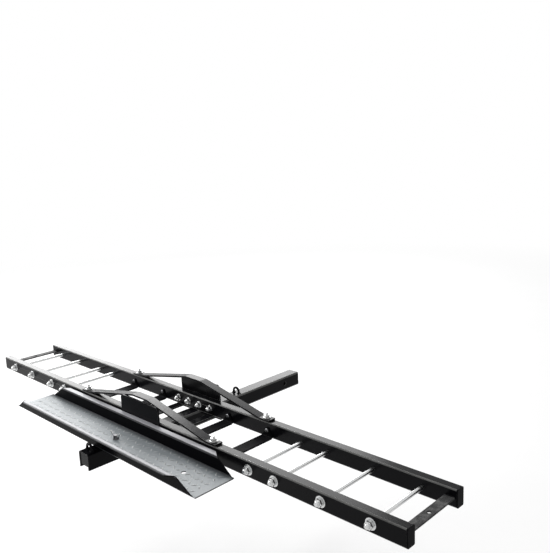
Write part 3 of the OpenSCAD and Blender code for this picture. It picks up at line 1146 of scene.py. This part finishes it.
@dataclass
class SubAssembly:
    """What all sub-assemblies share: the workshop that makes their pieces, and the carrier's sizes."""

    shop: Workshop
    lay: Layout

    def build(self) -> None:
        """Builds the pieces, as each sub-assembly says."""
        raise NotImplementedError


@dataclass
class HitchBar(SubAssembly):
    """Square bar with its pin hole."""

    edge: float = 0.9 * MM

    def build(self) -> None:
        """Dresses the bar."""
        self.shop.soft("main_beam", self.edge, corner=self.lay.corner)


@dataclass
class Saddle(SubAssembly):
    """Plates and straps that hold the rails on the bar, with their bolts and welds."""

    edge: float = 1.0 * MM
    plate_low: float = 22 * MM
    bolt_x: tuple[float, float] = (28 * MM, 82.5 * MM)
    strap_x: float = 81 * MM
    strap_w: float = 30 * MM
    strap_t: float = 6 * MM
    seam: WeldSeam = WeldSeam()
    seam_below: float = 2 * MM
    seam_inside: float = 1 * MM
    seam_end: float = 3 * MM

    def build(self) -> None:
        """Builds the saddle."""
        lay = self.lay
        for node in ("saddle_plate_near", "saddle_plate_far", "saddle_strap_left", "saddle_strap_right"):
            self.shop.soft(node, self.edge)
        bolt = lay.bolt(lay.rail_w + lay.saddle_t)
        outer, inner = lay.track_w / 2 + lay.saddle_t, lay.inner_w / 2 - lay.washer_t
        self.shop.plated("saddle_bolts", "turned", bolt.shape(), self.places(outer))
        self.shop.plated("saddle_washers", "soft", lay.bolt_washer().shape(), self.places(inner))
        nuts = self.places(inner - lay.bolt_nut_h)
        self.shop.plated("saddle_nuts", "chamfered", lay.bolt_nut().shape(), nuts)
        self.shop.welded("saddle_welds", self.seam, self.seams())

    def places(self, off: float) -> Iterator[Matrix]:
        """Places of the bolts' parts, outward on each side.

        Args:
            off: Distance of their seats from the track's middle.

        Returns:
            The place of each part.
        """
        z = self.lay.beam_top + self.lay.rail_h / 2
        for side, end, x in product(Side, End, self.bolt_x):
            yield pose((end * x, self.lay.track_y + side * off, z), (0, side, 0))

    def seams(self) -> Iterator[Matrix]:
        """Welds between plates and bar, and between straps and plates.

        Returns:
            The place of each ripple.
        """
        lay = self.lay
        top, strap_low = lay.beam_top, lay.beam_top - self.strap_t
        half_seam = self.strap_w / 2 - self.seam_end
        for side, end in product(Side, End):
            x = end * lay.beam / 2
            y = lay.track_y + side * (lay.track_w / 2 + lay.saddle_t)
            yield from self.seam.line((x, y, top - self.plate_low), (x, y, top - self.seam_below))
            x = end * self.strap_x
            y = lay.track_y + side * (lay.track_w / 2 - self.seam_inside)
            yield from self.seam.line((x - half_seam, y, strap_low), (x + half_seam, y, strap_low))


@dataclass
class Track(SubAssembly):
    """Rails, plugs, rungs, end bars and wheel rods."""

    edge: float = 0.8 * MM
    rail_edge: float = 0.4 * MM
    plug_edge: float = 1.3 * MM
    half_length: float = 980 * MM
    rail_wall: float = 2.5 * MM
    rod_r: float = 6 * MM
    rod_from_end: tuple[float, ...] = (491 * MM, 397 * MM, 242 * MM, 96 * MM)
    rod_depth: float = 24 * MM
    rod_thread: float = 27 * MM
    rod_steps: int = 24
    rod_washer_r: float = 15 * MM
    rod_nut_w: float = 18.96 * MM
    rod_nut_h: float = 10.2 * MM
    rung_x: tuple[float, float] = (174 * MM, 350 * MM)
    rung_t: float = 5 * MM
    screw_z: float = 23 * MM
    screw_r: float = 4 * MM
    screw_head_r: float = 6.4 * MM
    screw_head_h: float = 4 * MM
    screw_socket: float = 2.48 * MM
    screw_past: float = 5 * MM
    screw_thread: float = 8 * MM
    end_bar_inset: float = 8 * MM
    end_bar_w: float = 27 * MM
    end_bar_depth: float = 21 * MM
    seam: WeldSeam = WeldSeam(2.2 * MM, 2.0 * MM)
    seam_end: float = 3 * MM

    def build(self) -> None:
        """Builds the track."""
        self.rails()
        self.rungs()
        self.rods()
        self.shop.welded("end_bar_welds", self.seam, self.seams())

    def rails(self) -> None:
        """Dresses the rails, plugs and end bars."""
        for side, end in product(Side, End):
            # Rounded rail corners count as edges, so they carry a painted highlight line as well as wear.
            self.shop.soft(f"rail_{side.word}_{end.word}", self.rail_edge, corner=self.lay.corner)
        self.shop.soft("rail_plugs", self.plug_edge, Slot.PLASTIC)
        for end in End:
            self.shop.soft(f"end_bar_{end.word}", self.edge, finish=self.shop.finishes.rubbed)

    def rungs(self) -> None:
        """Dresses the rungs and their screws."""
        for end, place in product(End, ("inner", "outer")):
            self.shop.soft(f"rung_{end.word}_{place}", self.edge, finish=self.shop.finishes.satin)
        reach = self.rung_t + self.rail_wall + self.screw_past
        screw = DomeBolt(self.screw_r, self.screw_head_r, self.screw_head_h, reach, self.screw_thread,
                         self.screw_socket)
        off, z = self.lay.inner_w / 2 - self.rung_t, self.lay.beam_top + self.screw_z
        places = [pose((end * x, self.lay.track_y + side * off, z), (0, -side, 0))
                  for side, end, x in product(Side, End, self.rung_x)]
        self.shop.plated("rung_screws", "turned", screw.shape(), places, finish=self.shop.finishes.dull_zinc)

    def rods(self) -> None:
        """Builds the wheel rods with their washers and nuts."""
        lay = self.lay
        rod = self.rod_shape()
        for end in End:
            places = self.rod_places((end,), (Side.FAR,), 0.0)
            self.shop.plated(f"wheel_rods_{end.word}", "turned", rod, places)
        bore, face = self.rod_r + lay.thread_gap, lay.track_w / 2
        washer = Washer(bore, self.rod_washer_r, lay.washer_t)
        nut = HexNut(bore, self.rod_nut_w, self.rod_nut_h)
        self.shop.plated("rod_washers", "soft", washer.shape(), self.rod_places(End, Side, face))
        nuts = self.rod_places(End, Side, face + lay.washer_t)
        self.shop.plated("rod_nuts", "chamfered", nut.shape(), nuts)

    def rod_shape(self) -> Mesh:
        """Builds one wheel rod about its middle: plain, with a thread at each end.

        Returns:
            The rod.
        """
        half = self.lay.track_w / 2 + self.lay.washer_t + self.rod_nut_h + self.lay.stub
        thread = Thread(self.rod_r)
        low = thread.end(-half, self.rod_thread - half) + [(self.rod_r, self.rod_thread - half + thread.tip)]
        return lathe(low + [(r, -z) for r, z in reversed(low)], self.rod_steps)

    def rod_places(self, ends: Iterable[End], sides: Iterable[Side], off: float) -> Iterator[Matrix]:
        """Places along the wheel rods, outward on each side.

        Args:
            ends: Ends of the track.
            sides: Sides of the track.
            off: Distance from the track's middle.

        Returns:
            The place of each part.
        """
        z = self.lay.rail_top - self.rod_depth
        for end, side, inset in product(ends, sides, self.rod_from_end):
            yield pose((end * (self.half_length - inset), self.lay.track_y + side * off, z), (0, side, 0))

    def seams(self) -> Iterator[Matrix]:
        """Welds between the end bars and the rails.

        Returns:
            The place of each ripple.
        """
        z = self.lay.rail_top - self.end_bar_depth
        outer = self.half_length - self.end_bar_inset
        for end, side in product(End, Side):
            y = self.lay.track_y + side * self.lay.inner_w / 2
            yield from self.seam.line((end * (outer - self.seam_end), y, z),
                                      (end * (outer - self.end_bar_w + self.seam_end), y, z))


@dataclass
class Bridges(SubAssembly):
    """Bent bars over the rails' middle, with their bolts."""

    edge: float = 0.8 * MM
    bolt_x: float = 335 * MM
    bar_t: float = 6 * MM

    def build(self) -> None:
        """Builds the bridges."""
        lay = self.lay
        for side in Side:
            self.shop.soft(f"bridge_{side.word}", self.edge)
        bolt = lay.bolt(lay.rail_h + self.bar_t)
        seat = lay.rail_top + self.bar_t
        self.shop.plated("bridge_bolts", "turned", bolt.shape(), self.places(lay.beam_top, -1))
        self.shop.plated("bridge_washers", "soft", lay.bolt_washer().shape(), self.places(seat))
        self.shop.plated("bridge_nuts", "chamfered", lay.bolt_nut().shape(), self.places(seat + lay.washer_t))

    def places(self, z: float, up: int = 1) -> Iterator[Matrix]:
        """Places of the bolts' parts at a height, pointing up (1) or down (-1)."""
        for side, end in product(Side, End):
            yield pose((end * self.bolt_x, self.lay.rail_y(side), z), (0, 0, up))


@dataclass
class RampArm(SubAssembly):
    """Folded arm that carries the ramp, and the tie-down loops."""

    edge: float = 0.8 * MM
    bar_r: float = 4 * MM
    bar_steps: int = 16
    loop_r: float = 13 * MM
    loop_steps: int = 18
    leg: float = 7 * MM
    seam: WeldSeam = WeldSeam(2.4 * MM, 2.2 * MM)
    seam_up: float = 0.6 * MM
    seam_out: float = 1 * MM
    seam_end: float = 4 * MM

    def build(self) -> None:
        """Builds the arm and loops."""
        self.shop.soft("ramp_arm", self.edge)
        for side in Side:
            node = f"strap_loop_{side.word}"
            low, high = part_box(node)
            at = Vector(((low.x + high.x) / 2, (low.y + high.y) / 2, low.z))
            loop = stamped(self.loop_shape(), [Matrix.Translation(at)])
            self.shop.piece(node + "_bent", loop, Slot.PAINT, (node,))
            feet = (at + Vector((end * self.loop_r, 0.0, self.seam_up)) for end in End)
            places = [place for foot in feet for place in self.seam.foot(foot, self.bar_r + self.seam_out)]
            self.shop.welded(node + "_welds", self.seam, places)
        self.shop.welded("ramp_arm_welds", self.seam, self.seams())

    def loop_shape(self) -> Mesh:
        """Builds one loop from its feet up: two legs and a half turn of round bar.

        Returns:
            The loop.
        """
        bm = bmesh.new()

        def rise(region: list[BMFace], height: float) -> list[BMFace]:
            """Extrudes a face.

            Args:
                region: The face.
                height: How far it goes up.

            Returns:
                The new end.
            """
            grown = bmesh.ops.extrude_face_region(bm, geom=region)["geom"]
            bmesh.ops.translate(bm, vec=(0.0, 0.0, height), verts=only(BMVert, grown))
            return only(BMFace, grown)

        bmesh.ops.create_circle(bm, cap_ends=True, segments=self.bar_steps, radius=self.bar_r,
                                matrix=Matrix.Translation((self.loop_r, 0.0, 0.0)))
        top = rise(bm.faces[:], self.leg)
        turned = bmesh.ops.spin(bm, geom=top, cent=(0.0, 0.0, self.leg), axis=(0.0, -1.0, 0.0), angle=math.pi,
                                steps=self.loop_steps, use_duplicate=False)["geom_last"]
        rise(only(BMFace, turned), -self.leg)
        bmesh.ops.remove_doubles(bm, verts=bm.verts[:], dist=MERGE)
        inside = [f for f in bm.faces if all(len(e.link_faces) > 2 for e in f.edges)]
        bmesh.ops.delete(bm, geom=inside, context="FACES_ONLY")
        return as_mesh(closed_up(bm))

    def seams(self) -> Iterator[Matrix]:
        """Weld between the arm and the near saddle plate.

        Returns:
            The place of each ripple.
        """
        half = self.lay.beam / 2 - self.seam_end
        y, z = self.lay.track_y - self.lay.track_w / 2 - self.lay.saddle_t, self.lay.beam_top
        yield from self.seam.line((-half, y, z), (half, y, z))


@dataclass
class Ramp(SubAssembly):
    """Folded tread sheet with raised bars."""

    edge: float = 0.6 * MM
    cut_slack: float = 0.3 * MM
    level: float = 0.9
    half_length: float = 492 * MM
    hole_x: float = 363 * MM
    bar_pitch: tuple[float, float] = (20 * MM, 25 * MM)
    bar_size: Triple = (9 * MM, 2.4 * MM, 0.9 * MM)
    bar_steps: tuple[int, int] = (12, 4)
    bar_turn: float = math.radians(45)
    rows: int = 5
    end_margin: float = 16 * MM
    hole_margin: float = 17 * MM

    def build(self) -> None:
        """Builds the sheet and its bars."""
        lay = self.lay
        sheet = self.shop.softener.copy("ramp", self.edge, lay.ramp_t + self.cut_slack)
        lip_z = lay.ramp_middle.z + lay.ramp_t
        # Up-facing faces are marked to take the tread's painted grey sheen, which stands for reflected sky.
        marked(sheet, "worn", lambda face: float(face.normal.z > self.level))
        marked(sheet, "lip", lambda face: float(face.calc_center_median().z > lip_z))
        self.shop.piece("ramp_soft", sheet, Slot.TREAD, ("ramp",), Body.RAMP)
        bars = stamped(self.bar_shape(), self.tread())
        # The bars take the painted sheen of up-facing faces and a lighter painted highlight.
        for name in ("worn", "raised"):
            marked(bars, name, lambda face: 1.0)
        self.shop.piece("ramp_tread", bars, Slot.TREAD, (), Body.RAMP)

    def bar_shape(self) -> Mesh:
        """Builds one raised bar of the tread: a long low lens, half sunk in the sheet.

        Returns:
            The bar.
        """
        bm = bmesh.new()
        around, along = self.bar_steps
        bmesh.ops.create_uvsphere(bm, u_segments=around, v_segments=along, radius=1.0)
        bmesh.ops.scale(bm, vec=self.bar_size, verts=bm.verts[:])
        return as_mesh(bm)

    def tread(self) -> Iterator[Matrix]:
        """Rows of bars, turned left and right by turns, clear of the holes.

        Returns:
            The place of each bar.
        """
        step_x, step_y = self.bar_pitch
        columns = int((self.half_length - self.end_margin) / step_x)
        holes = (self.lay.wing_screw_x, self.hole_x)
        for i, j in product(range(-columns, columns + 1), range(self.rows)):
            x, y = i * step_x, (j - (self.rows - 1) / 2) * step_y
            if any(math.hypot(x - hole, y) < self.hole_margin for hole in holes):
                continue
            turn = Matrix.Rotation(self.bar_turn if (i + j) % 2 else -self.bar_turn, 4, "Z")
            yield Matrix.Translation(self.lay.ramp_middle + Vector((x, y, 0.0))) @ turn


@dataclass
class WingScrew(SubAssembly):
    """Screw with two cast wings that holds the ramp down.

    A wing step is a wing's reach from the axis, its rise above the hub's middle, and its height there.
    """

    shank_r: float = 5 * MM
    reach: float = 33 * MM
    hub_r: float = 9 * MM
    hub_h: float = 13 * MM
    neck: float = 2 * MM
    hub_shares: Triple = (0.8, 0.7, 0.55)
    steps: int = 28
    root_x: float = 4 * MM
    root_size: Triple = (5 * MM, 4.8 * MM, 9.75 * MM)
    wing_steps: tuple[Triple, ...] = ((11.25 * MM, 3.825 * MM, 8.06 * MM), (20 * MM, 9.18 * MM, 13.65 * MM),
                                      (25 * MM, 12.24 * MM, 9.1 * MM))
    wing_taper: float = 0.85
    cast_levels: int = 2

    @property
    def seat(self) -> Vector:
        """Seat of the hub on the ramp's floor."""
        return self.lay.ramp_middle + Vector((self.lay.wing_screw_x, 0.0, 0.0))

    def build(self) -> None:
        """Builds the turned hub and shank, and the wings."""
        # The hub takes the darker zinc as painted shade for the dark reflection it shows under the wings; the
        # wings keep bright zinc.
        self.shop.plated("wing_screw", "turned", self.hub(), [Matrix.Translation(self.seat)], Body.WING_SCREW,
                         self.shop.finishes.dull_zinc)
        wings = self.shop.piece("wing_screw_wings", self.wings(), Slot.ZINC, (), Body.WING_SCREW)
        cast = wings.modifiers.new("cast", "SUBSURF")
        cast.levels = cast.render_levels = self.cast_levels

    def hub(self) -> Mesh:
        """Builds the hub and the threaded shank below it.

        Returns:
            The turned shape, from the hub's seat.
        """
        thread = Thread(self.shank_r)
        heights = (2 * self.neck, self.hub_h - self.neck, self.hub_h)
        points = thread.end(-self.reach, -self.lay.ramp_t)
        points += [(self.shank_r, 0.0), (self.hub_r, 0.0), (self.hub_r, self.neck)]
        points += [(share * self.hub_r, height) for share, height in zip(self.hub_shares, heights)]
        return lathe([*points, (0.0, self.hub_h + thread.tip)], self.steps)

    def wings(self) -> BMesh:
        """Builds both wings: each a thin block, drawn out and up from the hub in steps.

        Returns:
            The wings.
        """
        bm = bmesh.new()
        middle = self.hub_h / 2
        for end in End:
            root = Matrix.Translation((end * self.root_x, 0.0, middle))
            size = Matrix.Diagonal((*self.root_size, 1.0))
            verts = bmesh.ops.create_cube(bm, size=1.0, matrix=root @ size)["verts"]
            sides = {face for vert in verts for face in vert.link_faces}
            tip = max(sides, key=lambda face: end * face.calc_center_median().x)
            for reach, rise, tall in self.wing_steps:
                tip = bmesh.ops.extrude_discrete_faces(bm, faces=[tip])["faces"][0]
                goal = Vector((end * reach, 0.0, middle + rise))
                heights = [vert.co.z for vert in tip.verts]
                grow = tall / (max(heights) - min(heights))
                bmesh.ops.translate(bm, vec=goal - tip.calc_center_median(), verts=tip.verts[:])
                bmesh.ops.scale(bm, vec=(1.0, self.wing_taper, grow), verts=tip.verts[:],
                                space=Matrix.Translation(-goal))
        bmesh.ops.translate(bm, vec=self.seat, verts=bm.verts[:])
        return closed_up(bm)


# Studio


@dataclass(frozen=True)
class SoftBox:
    """Soft lamp that faces a point."""

    name: str
    at: Triple
    toward: Triple
    size: tuple[float, float]
    radiance: float

    def hang(self) -> None:
        """Puts the lamp in the scene."""
        lamp = bpy.data.lights.new(self.name, "AREA")
        lamp.shape = "RECTANGLE"
        lamp.size, lamp.size_y = self.size
        lamp.energy = self.radiance * self.size[0] * self.size[1] * math.pi
        made = bpy.data.objects.new(self.name, lamp)
        bpy.context.scene.collection.objects.link(made)
        made.visible_camera = False
        away = Vector(self.at) - Vector(self.toward)
        made.matrix_world = Matrix.Translation(self.at) @ away.to_track_quat("Z", "Y").to_matrix().to_4x4()


@dataclass
class Studio:
    """Camera, lamps, floor and white surroundings; the camera's angles are in degrees."""

    azimuth: float = 44.54
    elevation: float = 10.87
    roll: float = -2.40
    focal_px: float = 658.0
    distance: float = 1.7205
    target: Triple = (0.4984, -0.510, 0.5502)
    long_side_px: int = 553
    sensor: float = 36.0
    floor_y: float = -0.5
    floor_drop: float = 0.42
    floor_radius: float = 14.0
    floor_steps: int = 96
    ambient: float = 0.40
    lamps: tuple[SoftBox, ...] = (
        SoftBox("back_left_light", (-4.6, 2.6, 2.6), (-0.3, -0.5, 0.0), (5.2, 3.2), 5.8),
        SoftBox("left_light", (-1.9, -1.1, 1.7), (-0.1, -0.6, 0.0), (1.4, 1.2), 10.6),
        SoftBox("low_left_light", (-4.95, 1.29, 1.29), (-0.5, -0.6, 0.0), (1.8, 1.2), 2.6),
        SoftBox("high_back_light", (-1.97, 1.14, 2.23), (0.2, -0.62, 0.11), (0.55, 0.5), 21.0),
    )

    def build(self) -> None:
        """Sets up the studio."""
        self.camera()
        self.surroundings()
        self.floor()
        for lamp in self.lamps:
            lamp.hang()
        bpy.context.scene.view_settings.view_transform = "Standard"

    def camera(self) -> None:
        """Puts the camera at the photograph's viewpoint."""
        az, el, roll = (math.radians(a) for a in (self.azimuth, self.elevation, self.roll))
        back = Vector((math.sin(az) * math.cos(el), -math.cos(az) * math.cos(el), math.sin(el)))
        level = Vector((math.cos(az), math.sin(az), 0.0))
        upright = back.cross(level)
        right = level * math.cos(roll) + upright * math.sin(roll)
        up = upright * math.cos(roll) - level * math.sin(roll)
        data = bpy.data.cameras.new("camera")
        data.sensor_width = self.sensor
        data.lens = self.focal_px * self.sensor / self.long_side_px
        made = bpy.data.objects.new("camera", data)
        bpy.context.scene.collection.objects.link(made)
        turn = Matrix((right, up, back)).transposed().to_4x4()
        made.matrix_world = Matrix.Translation(Vector(self.target) + back * self.distance) @ turn
        bpy.context.scene.camera = made

    def surroundings(self) -> None:
        """Sets up white surroundings, a little dimmer as light."""
        world = bpy.data.worlds.new("white_room")
        bpy.context.scene.world = world
        tree = ShaderTree(world)
        strength = tree.seen().spread(self.ambient, 1.0)
        shader = tree.shader("Background", {"Color": WHITE, "Strength": strength})
        tree.surface(shader, "ShaderNodeOutputWorld")

    def floor(self) -> None:
        """Lays the floor below the carrier."""
        bm = bmesh.new()
        bmesh.ops.create_circle(bm, cap_ends=True, segments=self.floor_steps, radius=self.floor_radius)
        at = (0.0, self.floor_y, CAD_BOX[0].z - self.floor_drop)
        bmesh.ops.translate(bm, vec=at, verts=bm.verts[:])
        mesh = as_mesh(bm)
        mesh.name = "floor"
        mesh.materials.append(PaleFloor("pale_floor", self.ambient).material())
        made = bpy.data.objects.new("floor", mesh)
        bpy.context.scene.collection.objects.link(made)


def main() -> None:
    """Builds the carrier, then the studio."""
    logging.basicConfig(level=logging.INFO, format="%(name)s: %(message)s")
    lay = Layout()
    shop = Workshop(Finishes(lay))
    for part in (HitchBar, Saddle, Track, Bridges, RampArm, Ramp, WingScrew):
        part(shop, lay).build()
    Studio().build()
    LOG.info("%d pieces made", len(shop.made))


if __name__ == "__main__":
    main()
